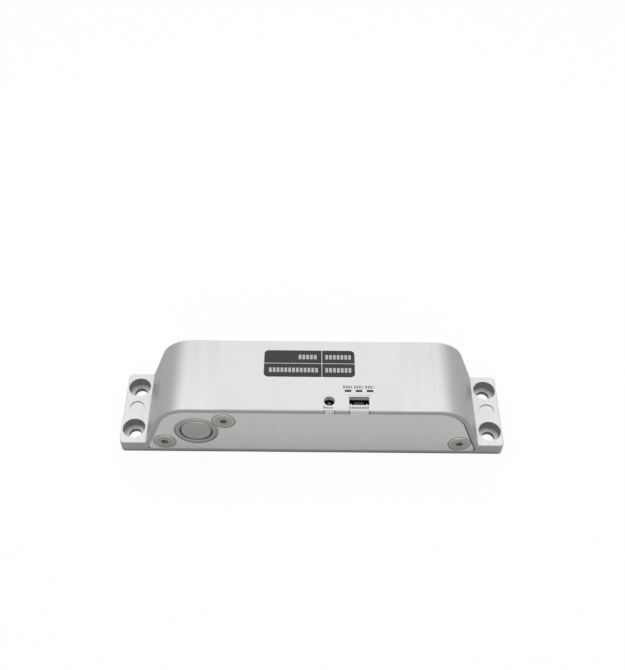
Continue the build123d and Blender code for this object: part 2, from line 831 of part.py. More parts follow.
# Fixed core, bored for the push rod
with BuildPart() as solenoid_core:
    with BuildSketch(Plane.YZ.offset(core_x0)):
        with Locations((rod_y, bolt_z)):
            Circle(core_r)
    extrude(amount=core_x1 - core_x0)
    chamfer(solenoid_core.faces().sort_by(Axis.X)[0].edges(), edge_break)
    with BuildSketch(Plane.YZ.offset(core_x0)):
        with Locations((rod_y, bolt_z)):
            Circle(rod_r + plunger_gap)
    extrude(amount=core_x1 - core_x0, mode=Mode.SUBTRACT)

solenoid_core.part.label = "solenoid_core"
export_step(solenoid_core.part, "parts/solenoid_core.step")

# Plunger, with the push rod screwed into its face
with BuildPart() as solenoid_plunger:
    with BuildSketch(Plane.YZ.offset(plunger_x0)):
        with Locations((rod_y, bolt_z)):
            Circle(core_r)
    extrude(amount=plunger_x1 - plunger_x0)
    chamfer(solenoid_plunger.faces().filter_by(Axis.X).edges(), edge_break)
    with BuildSketch(Plane.YZ.offset(plunger_x0)):
        with Locations((rod_y, bolt_z)):
            Circle(rod_r + fit_gap)
    extrude(amount=rod_grip, mode=Mode.SUBTRACT)
    with BuildSketch(Plane.YZ.offset(retainer_x)):
        with Locations((rod_y, bolt_z)):
            Circle(core_r)
            Circle(retainer_groove_r, mode=Mode.SUBTRACT)
    extrude(amount=retainer_t, mode=Mode.SUBTRACT)

solenoid_plunger.part.label = "solenoid_plunger"
export_step(solenoid_plunger.part, "parts/solenoid_plunger.step")

with BuildPart() as push_rod:
    with BuildSketch(Plane.YZ.offset(clevis_pin_x + clevis_slot_back)):
        with Locations((rod_y, bolt_z)):
            Circle(rod_r)
    extrude(amount=plunger_x0 + rod_grip - clevis_pin_x - clevis_slot_back)

push_rod.part.label = "push_rod"
export_step(push_rod.part, "parts/push_rod.step")

# Slotted retainer ring in the plunger's groove, and the return spring it holds
with BuildPart() as spring_retainer:
    with BuildSketch(Plane.YZ.offset(retainer_x)):
        with Locations((rod_y, bolt_z)):
            Circle(retainer_r)
            Circle(retainer_groove_r + fit_gap, mode=Mode.SUBTRACT)
        with Locations((rod_y, bolt_z + retainer_r)):
            Rectangle(retainer_mouth, 2 * retainer_r, mode=Mode.SUBTRACT)
    extrude(amount=retainer_t - 2 * fit_gap)

spring_retainer.part.label = "spring_retainer"
export_step(spring_retainer.part, "parts/spring_retainer.step")

spring_x0 = frame_x1 + spring_wire_r + spring_seat_gap
spring_x1 = retainer_x - spring_wire_r - spring_seat_gap
with BuildPart() as return_spring:
    with BuildLine():
        turns = Helix(
            pitch=(spring_x1 - spring_x0) / spring_turns,
            height=spring_x1 - spring_x0,
            radius=spring_r,
            center=(spring_x0, rod_y, bolt_z),
            direction=(1, 0, 0),
        )
    with BuildSketch(Plane(origin=turns @ 0, z_dir=turns % 0)):
        Circle(spring_wire_r)
    sweep(is_frenet=True)

return_spring.part.label = "return_spring"
export_step(return_spring.part, "parts/return_spring.step")

# Clevis on the rod's end, and its pin through the crank's short arm
with BuildPart() as rod_clevis:
    with BuildSketch(Plane.XY.offset(bolt_z - clevis_w / 2)):
        with Locations((clevis_pin_x - clevis_nose, rod_y)):
            Rectangle(clevis_nose + clevis_tail, clevis_depth, align=(Align.MIN, Align.CENTER))
    extrude(amount=clevis_w)
    fillet(rod_clevis.edges().filter_by(Axis.Z).group_by(Axis.X)[0], clevis_nose_r)
    with BuildSketch(Plane.XY.offset(bolt_z)):
        with Locations((clevis_pin_x + clevis_slot_back, rod_y)):
            Rectangle(clevis_slot_back + 2 * clevis_nose, 2 * clevis_depth, align=(Align.MAX, Align.CENTER))
    extrude(amount=clevis_gap / 2, both=True, mode=Mode.SUBTRACT)
    with BuildSketch(Plane.XY.offset(bolt_z)):
        with Locations((clevis_pin_x, rod_y)):
            Circle(clevis_pin_r + fit_gap)
    extrude(amount=clevis_w, both=True, mode=Mode.SUBTRACT)
    with BuildSketch(Plane.YZ.offset(clevis_pin_x + clevis_slot_back)):
        with Locations((rod_y, bolt_z)):
            Circle(rod_r + fit_gap)
    extrude(amount=clevis_tail, mode=Mode.SUBTRACT)

rod_clevis.part.label = "rod_clevis"
export_step(rod_clevis.part, "parts/rod_clevis.step")

with BuildPart() as clevis_pin:
    with BuildSketch(Plane.XY.offset(bolt_z)):
        with Locations((clevis_pin_x, rod_y)):
            Circle(clevis_pin_r)
    extrude(amount=clevis_w / 2 + edge_break, both=True)
    chamfer(clevis_pin.faces().filter_by(Axis.Z).edges(), 2 * run_gap)

clevis_pin.part.label = "clevis_pin"
export_step(clevis_pin.part, "parts/clevis_pin.step")

# Circuit board, stepped round the solenoid
with BuildPart() as circuit_board:
    with BuildSketch(Plane.XY.offset(board_under)) as board_outline:
        with BuildLine():
            Polyline(
                (board_left, board_front),
                (board_right, board_front),
                (board_right, board_back),
                (board_step_x, board_back),
                (board_step_x, board_step_y),
                (board_left, board_step_y),
                close=True,
            )
        make_face()
        fillet(board_outline.vertices(), board_corner_r)
        with Locations(*standoff_places):
            Circle(m3_hole_r, mode=Mode.SUBTRACT)
    extrude(amount=board_t)

circuit_board.part.label = "circuit_board"
export_step(circuit_board.part, "parts/circuit_board.step")

# Standoffs between plate and board, each bored for its screw
with BuildPart() as board_standoffs:
    with BuildSketch(Plane.XY.offset(plate_top)):
        with Locations(*standoff_places):
            RegularPolygon(standoff_r, 6)
    extrude(amount=board_under - plate_top)
    with BuildSketch(Plane.XY.offset(plate_top)):
        with Locations(*standoff_places):
            Circle(standoff_spigot_r)
    extrude(amount=-standoff_spigot_len)
    with BuildSketch(Plane.XY.offset(board_under)):
        with Locations(*standoff_places):
            Circle(m3_hole_r)
    extrude(amount=-board_screw_len, mode=Mode.SUBTRACT)

board_standoffs.part.label = "board_standoffs"
export_step(board_standoffs.part, "parts/board_standoffs.step")

with BuildPart() as board_screws:
    with Locations(Plane.XY.offset(board_top)):
        with Locations(*standoff_places):
            add(pan_screw(board_screw_len))

board_screws.part.label = "board_screws"
export_step(board_screws.part, "parts/board_screws.step")

# Status lamp on its spacer, under the round hole
lamp_top = height - lamp_below_roof
lamp_foot = lamp_top - lamp_body - lamp_r
with BuildPart() as lamp_spacer:
    with BuildSketch(Plane.XY.offset(board_top)):
        with Locations((lamp_x, lamp_y)):
            Circle(spacer_r)
    extrude(amount=lamp_foot - board_top)

lamp_spacer.part.label = "lamp_spacer"
export_step(lamp_spacer.part, "parts/lamp_spacer.step")

with BuildPart() as status_lamp:
    with BuildSketch(Plane.XY.offset(lamp_foot)):
        with Locations((lamp_x, lamp_y)):
            Circle(lamp_rim_r)
    extrude(amount=lamp_rim_t)
    with BuildSketch(Plane.XY.offset(lamp_foot)):
        with Locations((lamp_x, lamp_y)):
            Circle(lamp_r)
    extrude(amount=lamp_body)
    with Locations((lamp_x, lamp_y, lamp_foot + lamp_body)):
        Sphere(lamp_r)

status_lamp.part.label = "status_lamp"
export_step(status_lamp.part, "parts/status_lamp.step")

# Delay selector under the slot: a header, its pins and the jumper cap
with BuildPart() as selector_header:
    with BuildSketch(Plane.XY.offset(board_top)):
        with Locations((selector_x, selector_y)):
            Rectangle(pin_count * pin_pitch, pin_pitch)
            with GridLocations(pin_pitch, 0, pin_count, 1):
                Rectangle(pin_w + 2 * fit_gap, pin_w + 2 * fit_gap, mode=Mode.SUBTRACT)
    extrude(amount=header_t)

selector_header.part.label = "selector_header"
export_step(selector_header.part, "parts/selector_header.step")

with BuildPart() as selector_pins:
    with BuildSketch(Plane.XY.offset(board_top)):
        with Locations((selector_x, selector_y)):
            with GridLocations(pin_pitch, 0, pin_count, 1):
                Rectangle(pin_w, pin_w)
    extrude(amount=pin_up)

selector_pins.part.label = "selector_pins"
export_step(selector_pins.part, "parts/selector_pins.step")

cap_under = board_top + header_t + cap_lift
with BuildPart() as jumper_cap:
    with BuildSketch(Plane.XY.offset(cap_under)):
        with Locations((selector_x, selector_y)):
            Rectangle(cap_w, cap_d)
    extrude(amount=cap_h)
    fillet(jumper_cap.edges().filter_by(Axis.Z), edge_break)
    chamfer(jumper_cap.faces().sort_by(Axis.Z)[-1].edges(), edge_break)
    with BuildSketch(Plane.XY.offset(cap_under)):
        with Locations((selector_x, selector_y)):
            with GridLocations(pin_pitch, 0, 2, 1):
                Rectangle(pin_w + 2 * run_gap, pin_w + 2 * run_gap)
    extrude(amount=pin_up - header_t - cap_lift + run_gap, mode=Mode.SUBTRACT)

jumper_cap.part.label = "jumper_cap"
export_step(jumper_cap.part, "parts/jumper_cap.step")

# Relay, capacitor and terminal block, hanging under the board
with BuildPart() as relay:
    with BuildSketch(Plane.XY.offset(board_under)):
        with Locations(relay_at):
            Rectangle(relay_size[0], relay_size[1])
    extrude(amount=-relay_size[2])
    fillet(relay.edges().filter_by(Axis.Z), relay_edge_r)
    chamfer(relay.faces().sort_by(Axis.Z)[0].edges(), relay_edge_r / 2)

relay.part.label = "relay"
export_step(relay.part, "parts/relay.step")

with BuildPart() as capacitor:
    with BuildSketch(Plane.XY.offset(board_under)):
        with Locations(capacitor_at):
            Circle(capacitor_r)
    extrude(amount=-capacitor_len)
    fillet(capacitor.faces().filter_by(Axis.Z).edges(), edge_break)

capacitor.part.label = "capacitor"
export_step(capacitor.part, "parts/capacitor.step")

pole_pitch = terminal_size[0] / terminal_poles
with BuildPart() as terminal_block:
    with BuildSketch(Plane.XY.offset(board_under)):
        with Locations(terminal_at):
            Rectangle(terminal_size[0], terminal_size[1])
    extrude(amount=-terminal_size[2])
    chamfer(terminal_block.edges().filter_by(Axis.X).group_by(Axis.Z)[0], relay_edge_r)
    wire_face = Plane.XZ.offset(-terminal_at[1] - terminal_size[1] / 2)
    with BuildSketch(wire_face):
        with Locations((terminal_at[0], board_under - terminal_size[2] / 2)):
            with GridLocations(pole_pitch, 0, terminal_poles, 1):
                Rectangle(pole_pitch - terminal_wall, wire_pocket_h)
    extrude(amount=terminal_size[1] / 2, mode=Mode.SUBTRACT)
    with BuildSketch(Plane.XY.offset(board_under - terminal_size[2])):
        with Locations(terminal_at):
            with GridLocations(pole_pitch, 0, terminal_poles, 1):
                Circle(terminal_screw_r)
    extrude(amount=terminal_screw_deep, mode=Mode.SUBTRACT)

terminal_block.part.label = "terminal_block"
export_step(terminal_block.part, "parts/terminal_block.step")

# Cable grommet, its flange let into the back cover
with BuildPart() as cable_grommet:
    with BuildSketch(back_plane):
        with Locations((outlet_x, outlet_z)):
            Circle(grommet_flange_r)
    extrude(amount=grommet_flange_t)
    with BuildSketch(back_plane):
        with Locations((outlet_x, outlet_z)):
            Circle(grommet_neck_r)
    extrude(amount=cover_t + grommet_lip_t)
    with BuildSketch(back_plane.offset(cover_t)):
        with Locations((outlet_x, outlet_z)):
            Circle(grommet_lip_r)
    extrude(amount=grommet_lip_t)
    fillet(cable_grommet.faces().sort_by(Axis.Y)[0].edges(), edge_break)
    with BuildSketch(back_plane):
        with Locations((outlet_x, outlet_z)):
            Circle(cable_r)
    extrude(amount=cover_t + grommet_lip_t, mode=Mode.SUBTRACT)

cable_grommet.part.label = "cable_grommet"
export_step(cable_grommet.part, "parts/cable_grommet.step")

# Reed switch in its holder, bonded behind the front cover
reed_y = -inner_back_y + reed_holder_d
with BuildPart() as reed_holder:
    with BuildSketch(front_plane.offset(-cover_t)):
        with Locations((reed_x, bolt_z)):
            Rectangle(reed_holder_len, reed_holder_h)
    extrude(amount=-reed_holder_d)
    with BuildSketch(Plane.YZ.offset(reed_x - reed_holder_len / 2)):
        with Locations((reed_y - reed_r, bolt_z)):
            Circle(reed_r + fit_gap)
        with Locations((reed_y, bolt_z)):
            Rectangle(2 * reed_r, reed_groove_h)
    extrude(amount=reed_holder_len, mode=Mode.SUBTRACT)

reed_holder.part.label = "reed_holder"
export_step(reed_holder.part, "parts/reed_holder.step")

with BuildPart() as reed_switch:
    with BuildSketch(Plane.YZ.offset(reed_x)):
        with Locations((reed_y - reed_r, bolt_z)):
            Circle(reed_r)
    extrude(amount=reed_len / 2, both=True)
    fillet(reed_switch.faces().filter_by(Axis.X).edges(), reed_end_r)
    with BuildSketch(Plane.YZ.offset(reed_x)):
        with Locations((reed_y - reed_r, bolt_z)):
            Circle(reed_lead_r)
    extrude(amount=reed_len / 2 + reed_lead_len, both=True)

reed_switch.part.label = "reed_switch"
export_step(reed_switch.part, "parts/reed_switch.step")
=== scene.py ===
# Looks of an electric bolt lock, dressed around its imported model.
# Metres. +Z is up, the underside lies at Z = 0, and the bolt leaves towards -Y.
import json
from math import cos, pi, radians, sin

import bpy
from mathutils import Matrix, Vector


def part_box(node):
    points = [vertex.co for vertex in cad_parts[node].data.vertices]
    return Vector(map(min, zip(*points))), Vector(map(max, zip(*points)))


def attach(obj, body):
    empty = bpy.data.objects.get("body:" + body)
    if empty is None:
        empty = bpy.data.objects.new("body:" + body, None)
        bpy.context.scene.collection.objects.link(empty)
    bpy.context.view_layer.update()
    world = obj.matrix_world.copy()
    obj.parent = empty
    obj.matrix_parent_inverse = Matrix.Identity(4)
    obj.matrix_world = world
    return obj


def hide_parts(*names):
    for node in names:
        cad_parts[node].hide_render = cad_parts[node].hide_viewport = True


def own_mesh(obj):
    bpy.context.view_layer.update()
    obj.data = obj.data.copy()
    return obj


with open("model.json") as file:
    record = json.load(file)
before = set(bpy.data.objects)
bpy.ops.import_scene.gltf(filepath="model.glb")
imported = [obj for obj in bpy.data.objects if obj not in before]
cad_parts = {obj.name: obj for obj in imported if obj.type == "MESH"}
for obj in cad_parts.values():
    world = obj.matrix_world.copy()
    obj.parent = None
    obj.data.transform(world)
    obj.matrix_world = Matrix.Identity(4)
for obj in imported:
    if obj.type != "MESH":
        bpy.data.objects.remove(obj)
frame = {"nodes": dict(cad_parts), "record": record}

MM = 0.001
WHITE = (1.0, 1.0, 1.0, 1.0)
X_AXIS, Y_AXIS, Z_AXIS = 0, 1, 2
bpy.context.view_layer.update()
case_low, case_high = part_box("housing")

# The photograph's height in pixels, and the camera that the lock's outline in it gives
PICTURE_HEIGHT = 670
FOCAL_PIXELS = 922.3
SENSOR_MM = 36.0
VIEW_DIP = radians(50.99)
VIEW_TURN = radians(0.71)
VIEW_ROLL = radians(-1.12)
VIEW_DISTANCE = 475.7 * MM
AIM_RIGHT = 0.3 * MM
AIM_UP = 60.6 * MM


class Wire:
    """One output of a shader node. Arithmetic on it adds Math nodes."""

    def __init__(self, finish, socket):
        self.finish = finish
        self.socket = socket

    def math(self, operation, *values):
        return self.finish.node("ShaderNodeMath", {"operation": operation}, dict(enumerate(values)))

    def output(self, name):
        """Another output of the same node."""
        return Wire(self.finish, self.socket.node.outputs[name])

    def __add__(self, other):
        return self.math("ADD", self, other)

    def __radd__(self, other):
        return self.math("ADD", other, self)

    def __sub__(self, other):
        return self.math("SUBTRACT", self, other)

    def __rsub__(self, other):
        return self.math("SUBTRACT", other, self)

    def __mul__(self, other):
        return self.math("MULTIPLY", self, other)

    def __rmul__(self, other):
        return self.math("MULTIPLY", other, self)

    def __truediv__(self, other):
        return self.math("DIVIDE", self, other)

    def __rtruediv__(self, other):
        return self.math("DIVIDE", other, self)

    def __pow__(self, other):
        return self.math("POWER", self, other)

    def __rpow__(self, other):
        return self.math("POWER", other, self)

    def __abs__(self):
        return self.math("ABSOLUTE", self)

    def __gt__(self, other):
        return self.math("GREATER_THAN", self, other)

    def __lt__(self, other):
        return self.math("LESS_THAN", self, other)

    def least(self, other):
        return self.math("MINIMUM", self, other)

    def most(self, other):
        return self.math("MAXIMUM", self, other)

    def clamped(self):
        return self.math("MINIMUM", self.math("MAXIMUM", self, 0.0), 1.0)


class Finish:
    """A material that is made of nodes."""

    def __init__(self, name):
        self.material = bpy.data.materials.new(name)
        self.material.use_nodes = True
        self.tree = self.material.node_tree
        self.tree.nodes.clear()
        self.place = self.node("ShaderNodeTexCoord", output="Object")
        self.x, self.y, self.z = self.parts(self.place)

    def node(self, kind, settings=None, sockets=None, output=0):
        """Adds a node: its settings first, then the values or links of its sockets. Gives one output."""
        new = self.tree.nodes.new(kind)
        for name, value in (settings or {}).items():
            setattr(new, name, value)
        for key, value in (sockets or {}).items():
            if isinstance(value, Wire):
                self.tree.links.new(value.socket, new.inputs[key])
            else:
                new.inputs[key].default_value = value
        return Wire(self, new.outputs[output])

    def parts(self, vector):
        """The three numbers of a vector."""
        split = self.node("ShaderNodeSeparateXYZ", sockets={0: vector})
        return split, split.output("Y"), split.output("Z")

    def vector(self, x, y, z):
        return self.node("ShaderNodeCombineXYZ", sockets={0: x, 1: y, 2: z})

    def stretched(self, x, y, z):
        """Object coordinates times three numbers, for a pattern that runs one way."""
        sockets = {0: self.place, 1: (x, y, z)}
        return self.node("ShaderNodeVectorMath", {"operation": "MULTIPLY"}, sockets)

    def noise(self, where, scale, detail):
        sockets = {"Vector": where, "Scale": scale, "Detail": detail}
        return self.node("ShaderNodeTexNoise", sockets=sockets)

    def mix(self, share, low, high):
        """A colour between two colours."""
        return self.node("ShaderNodeMix", {"data_type": "RGBA"}, {0: share, 6: low, 7: high}, 2)

    def facing(self, axis):
        """How far a face looks along an axis, 0 to 1, either way."""
        normal = self.node("ShaderNodeTexCoord", output="Normal")
        return abs(self.parts(normal)[axis])

    def rounded_box(self, u, v, centre, half, corner, soft=0.04):
        """1 inside a rounded rectangle of the u, v plane and 0 outside it."""
        out_u = abs(u - centre[0]) - (half[0] - corner)
        out_v = abs(v - centre[1]) - (half[1] - corner)
        far = distance(out_u.most(0.0), out_v.most(0.0))
        edge = far + out_u.most(out_v).least(0.0) - corner
        return (0.5 - edge / soft).clamped()

    def bump(self, height, depth, strength):
        sockets = {"Height": height, "Distance": depth, "Strength": strength}
        return self.node("ShaderNodeBump", sockets=sockets, output="Normal")

    def surface(self, **sockets):
        """The shader itself. Its sockets are given by name, with _ for a space."""
        named = {name.replace("_", " "): value for name, value in sockets.items()}
        shader = self.node("ShaderNodeBsdfPrincipled", sockets=named)
        self.node_output(shader)
        return self.material

    def node_output(self, shader):
        end = self.tree.nodes.new("ShaderNodeOutputMaterial")
        self.tree.links.new(shader.socket, end.inputs["Surface"])


def distance(u, v):
    """How far a place lies from the middle of the u, v plane."""
    return (u ** 2.0 + v ** 2.0) ** 0.5


def tone(level, red=0.0, blue=0.0):
    """A grey with a little more or less red or blue than neutral."""
    return (level * (1 + red), level, level * (1 + blue), 1.0)


def middle_of(name):
    """The middle of a CAD node."""
    low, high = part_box(name)
    return (low + high) / 2


def dress(material, *names):
    """Gives CAD nodes a material."""
    for name in names:
        node = frame["nodes"][name]
        node.data.materials.clear()
        node.data.materials.append(material)


# Metals: how pale each surface of the aluminium is
SKIN_LOW = 0.61
SKIN_HIGH = 0.79
FOOT_SKIN = 0.86
CUT = 0.50
# pale tone painted as light on the lower walls of the roof's openings
OPENING_PAINTED_LIGHT = 0.92
COVER = 0.82

# The housing's own sizes, where its surface changes, and a small margin about them
ROOF_WALL = 2.75 * MM
FOOT_TOP = 8.15 * MM
FOOT_BORE = 5.75 * MM
MARK_RADIUS = 3.9 * MM
MARK_LINE = 0.45 * MM
SHADE_TOP = 2.0 * MM
NEAR = 0.05 * MM
foot_holes = next(m["dims"] for m in frame["record"]["mounts"] if m["name"] == "foot_screws")

# Sizes on the covers and on turned pieces
SEAM_SHADE_HALF = 0.28 * MM
RIM_EDGE = 0.2 * MM
SCREW_SINK = 5.45 * MM
SCREW_RIM = 4.3 * MM
BUSH_RING = 10.6 * MM
BUSH_LIP = 8.3 * MM


def housing_finish():
    """Satin anodised extrusion: die lines along Y, a blasted grain on the feet, darker cut faces,
    painted shade on the upright sides, near the floor, in the counterbores, along the marks and at the
    top of the openings, and painted light lower in the openings.
    """
    f = Finish("anodised_aluminium")
    upright = 1.0 - f.facing(Z_AXIS)
    wall = upright > 0.6
    milled = ((f.facing(Y_AXIS) - 0.9) * 12.0).clamped()
    foot = f.z < FOOT_TOP + NEAR
    below_foot_top = f.z < FOOT_TOP - NEAR
    from_hole_x = abs(f.x) - foot_holes["spacing_x_mm"] / 2 * MM
    from_hole_y = abs(f.y) - foot_holes["spacing_y_mm"] / 2 * MM
    broad = f.noise(f.stretched(260.0, 7.0, 260.0), 1.0, 1.0)
    fine = f.noise(f.stretched(1900.0, 24.0, 1900.0), 1.0, 2.0)
    grain = f.noise(f.place, 2600.0, 3.0)
    side_shade_noise = f.noise(f.stretched(110.0, 40.0, 110.0), 1.0, 3.0)
    lines = broad * 0.6 + fine * 0.4
    skin = f.mix(lines, tone(SKIN_LOW, 0.0, 0.012), tone(SKIN_HIGH, 0.0, 0.016))
    # painted shade: upright faces are darkened, in patches, as sides that fall in shade
    skin = f.mix(upright * (0.35 + side_shade_noise * 0.65), skin, tone(SKIN_LOW * 0.82))
    blasted = f.mix(((grain - 0.42) * 5.0).clamped(), tone(FOOT_SKIN * 0.8), tone(FOOT_SKIN * 1.06))
    skin = f.mix(foot * f.facing(Z_AXIS), skin, blasted)

    cut_lines = f.noise(f.stretched(120.0, 120.0, 3200.0), 1.0, 1.0)
    cut = f.mix(cut_lines, tone(CUT * 0.93, 0.0, -0.012), tone(CUT * 1.07, 0.0, -0.012))
    # painted shade: cut faces darken within the lowest 2 mm, as the floor's contact shadow
    painted_floor_shade = ((SHADE_TOP - f.z) / (1.2 * MM)).clamped()
    cut = f.mix(painted_floor_shade * 0.8, cut, tone(CUT * 0.35))

    bored = (distance(from_hole_x, from_hole_y) < FOOT_BORE + NEAR) * below_foot_top
    # counterbore walls: real tool rings, with a dark tone that is painted shade in the recess
    rings = f.noise(f.stretched(300.0, 300.0, 4200.0), 1.0, 2.0)
    drilled_rings_and_shade = f.mix(rings, tone(CUT * 0.55), tone(CUT * 0.95))
    # painted shadow: a dark line inside each arc mark's step, on its far side only
    mark_away = distance(from_hole_x, f.y)
    mark_edge_shade = ((mark_away - (MARK_RADIUS - MARK_LINE)) / (0.2 * MM)).clamped()
    mark_edge_shade = mark_edge_shade * (mark_away < MARK_RADIUS + NEAR) * below_foot_top
    mark_edge_shade = mark_edge_shade * (f.y / MARK_RADIUS + 0.3).clamped()

    pierced = wall * (f.z > case_high.z - ROOF_WALL) * (abs(f.y) < case_high.y - 2 * NEAR)
    depth = (case_high.z - f.z) / ROOF_WALL
    # painted shade darkens the top of the opening walls and painted light makes their lower part pale
    opening_shade_and_light = f.mix(((depth - 0.2) * 5.0).clamped(), tone(CUT * 0.3), tone(OPENING_PAINTED_LIGHT))

    colour = f.mix(milled, skin, cut)
    colour = f.mix(bored * wall, colour, drilled_rings_and_shade)
    colour = f.mix(pierced, colour, opening_shade_and_light)
    colour = f.mix(mark_edge_shade * 0.75, colour, tone(CUT * 0.6))
    rough = 0.40 + lines * 0.10 + grain * 0.08 + foot * 0.06
    relief = lines * (1.0 - milled) + grain * (0.4 + foot * 0.6)
    return f.surface(
        Base_Color=colour,
        Roughness=rough,
        Metallic=0.75 - pierced * 0.75,
        Normal=f.bump(relief, 0.010 * MM, 0.6),
    )


def cover_finish(name, shaded_rings):
    """Satin anodised plate, with painted shade on its own edge faces in the joint and rings of painted
    shadow round what sits in it.
    """
    f = Finish(name)
    cloud = f.noise(f.place, 90.0, 3.0)
    grain = f.noise(f.place, 6500.0, 2.0)
    rolled = f.noise(f.stretched(25.0, 400.0, 1700.0), 1.0, 2.0)
    dull, pale = tone(COVER * 0.95, 0.0, -0.02), tone(COVER * 1.05, 0.0, -0.02)
    colour = f.mix(cloud * 0.5 + rolled * 0.5, dull, pale)
    # painted shade on the plate's edge faces, inside the joint
    joint_shade = (f.facing(Y_AXIS) < 0.5) * (f.z < case_high.z - ROOF_WALL) * 0.7
    for centre, radius in shaded_rings:
        away = distance(f.x - centre.x, f.z - centre.z)
        ring_shade = (2.0 - abs(away - radius - SEAM_SHADE_HALF) / SEAM_SHADE_HALF * 1.4).clamped()
        # painted shadow: each ring is darkest on its lower side, below the proud head or bush
        lower = ((centre.z - f.z) / radius).clamped()
        joint_shade = joint_shade.most(ring_shade * (0.45 + lower * 0.55))
    colour = f.mix(joint_shade, colour, tone(COVER * 0.06))
    rough = 0.42 + grain * 0.10 + rolled * 0.05
    relief = grain * 0.6 + rolled * 0.4
    return f.surface(
        Base_Color=colour,
        Roughness=rough,
        Metallic=0.75,
        Normal=f.bump(relief, 0.006 * MM, 0.45),
    )


def turned_finish(name, level, centres, axis, rough, tint=(0.004, -0.004), painted_light_rims=()):
    """Metal from a lathe: rings on the ends and fine lines round the barrel, about the nearest centre.

    Each painted rim is a start radius and how much brighter, as a painted highlight, or darker, as
    painted shade, the metal is from there outwards.
    """
    f = Finish(name)
    across = [value for i, value in enumerate((f.x, f.y, f.z)) if i != axis]
    radius = None
    for centre in centres:
        flat = [value for i, value in enumerate(centre) if i != axis]
        away = distance(across[0] - flat[0], across[1] - flat[1])
        radius = away if radius is None else radius.least(away)
    along = (f.x, f.y, f.z)[axis]
    rings = f.noise(f.vector(radius * 3200.0, along * 2600.0, 0.0), 1.0, 2.0)
    sheen = f.noise(f.vector(radius * 420.0, along * 300.0, 0.0), 1.0, 1.0)
    smear = f.noise(f.place, 240.0, 2.0)
    colour = f.mix(sheen * 0.6 + rings * 0.4, tone(level * 0.9, *tint), tone(level * 1.1, *tint))
    for start, factor in painted_light_rims:
        colour = f.mix(((radius - start) / RIM_EDGE).clamped(), colour, tone(level * factor, *tint))
    roughness = rough + rings * 0.12 + smear * 0.06
    return f.surface(
        Base_Color=colour,
        Roughness=roughness,
        Metallic=1.0,
        Normal=f.bump(rings, 0.006 * MM, 0.6),
    )


def plated_finish(name, level, tint=(0.0, 0.0)):
    """Zinc on pressed steel: soft mottling and a trace of the rolling direction."""
    f = Finish(name)
    cloud = f.noise(f.place, 180.0, 3.0)
    rolled = f.noise(f.stretched(60.0, 1500.0, 1500.0), 1.0, 2.0)
    colour = f.mix(cloud, tone(level * 0.88, *tint), tone(level * 1.08))
    return f.surface(
        Base_Color=colour,
        Roughness=0.28 + cloud * 0.14 + rolled * 0.08,
        Metallic=1.0,
        Normal=f.bump(rolled, 0.006 * MM, 0.5),
    )


def wire_finish():
    """Drawn spring wire, darker where the drawing oil has stayed."""
    f = Finish("spring_steel")
    drawn = f.noise(f.place, 900.0, 3.0)
    colour = f.mix(drawn, tone(0.36), tone(0.58))
    return f.surface(Base_Color=colour, Roughness=0.24 + drawn * 0.16, Metallic=1.0)


def copper_winding_finish():
    """Enamelled wire wound side by side: a ridge for each turn, with the layer's drift."""
    f = Finish("coil")
    turns = f.node(
        "ShaderNodeTexWave",
        {"wave_type": "BANDS", "bands_direction": "X"},
        {"Vector": f.place, "Scale": 800.0, "Distortion": 0.6, "Detail": 1.0, "Detail Scale": 2.0},
    )
    drift = f.noise(f.stretched(500.0, 60.0, 60.0), 1.0, 2.0)
    colour = f.mix(turns * 0.6 + drift * 0.4, (0.22, 0.07, 0.025, 1.0), (0.58, 0.24, 0.09, 1.0))
    return f.surface(
        Base_Color=colour,
        Roughness=0.25 + drift * 0.15,
        Metallic=0.85,
        Normal=f.bump(turns, 0.06 * MM, 0.8),
    )


def tinned_finish():
    """Dull tin on the selector's pins, rubbed brighter along their length."""
    f = Finish("contact")
    rub = f.noise(f.stretched(900.0, 900.0, 120.0), 1.0, 2.0)
    colour = f.mix(rub, tone(0.36, 0.02, -0.02), tone(0.52, 0.02, -0.02))
    return f.surface(Base_Color=colour, Roughness=0.30 + rub * 0.14, Metallic=1.0)


# Places on the label in millimetres: across from the middle, and back from the housing's front
PANEL_CENTRE = (-1.8, 28.55)
PANEL_HALF = (22.8, 8.35)
PANEL_CORNER = 2.3
PANEL_RULES = (4.45, 28.65)
RULE_HALF = 0.17
INK_EDGE = 0.06
PANEL_PRINT = ((12.7, 32.7, 7), (-2.7, 32.7, 5), (12.7, 24.5, 7), (-9.75, 24.5, 13))
PANEL_PITCH = 1.93
PANEL_PRINT_HALF = 1.4
DASH_CENTRES = (17.25, 22.7, 28.1)
DASH_FRONT = 11.95
DASH_HALF = (1.62, 0.66)
SMALL_PRINT = ((16.55, 14.25, 3), (21.95, 14.25, 3), (27.45, 14.25, 3), (7.4, 2.1, 4), (22.4, 2.1, 8))
SMALL_PITCH = 1.24
SMALL_PRINT_HALF = 0.85
NUMBER_SIDE = 1.75
SCORE_CENTRE = (22.85, 9.4)
SCORE_HALF = (6.0, 0.16)
BLOCK_SHARE = 0.7
INK_PANEL_WORDS = 0.6
INK_SMALL_PRINT = 0.72
INK_SCORE = 0.4


def printed(past):
    """1 inside a printed edge and 0 past it, from the distance past the edge."""
    return (0.5 - past / INK_EDGE).clamped()


def block_rows(f, u, v, rows, pitch, half):
    """Rows of small plain blocks, which stand where the real film has words."""
    print_mask = None
    for centre, front, count in rows:
        reach = (count - 1 + BLOCK_SHARE) * pitch / 2
        row = f.rounded_box(u, v, (centre, front), (reach, half), 0.1)
        place = (u - (centre - reach)) / pitch
        from_block = abs(place.math("FRACT", place) - BLOCK_SHARE / 2) - BLOCK_SHARE / 2
        row = row * printed(from_block * pitch)
        print_mask = row if print_mask is None else print_mask.most(row)
    return print_mask


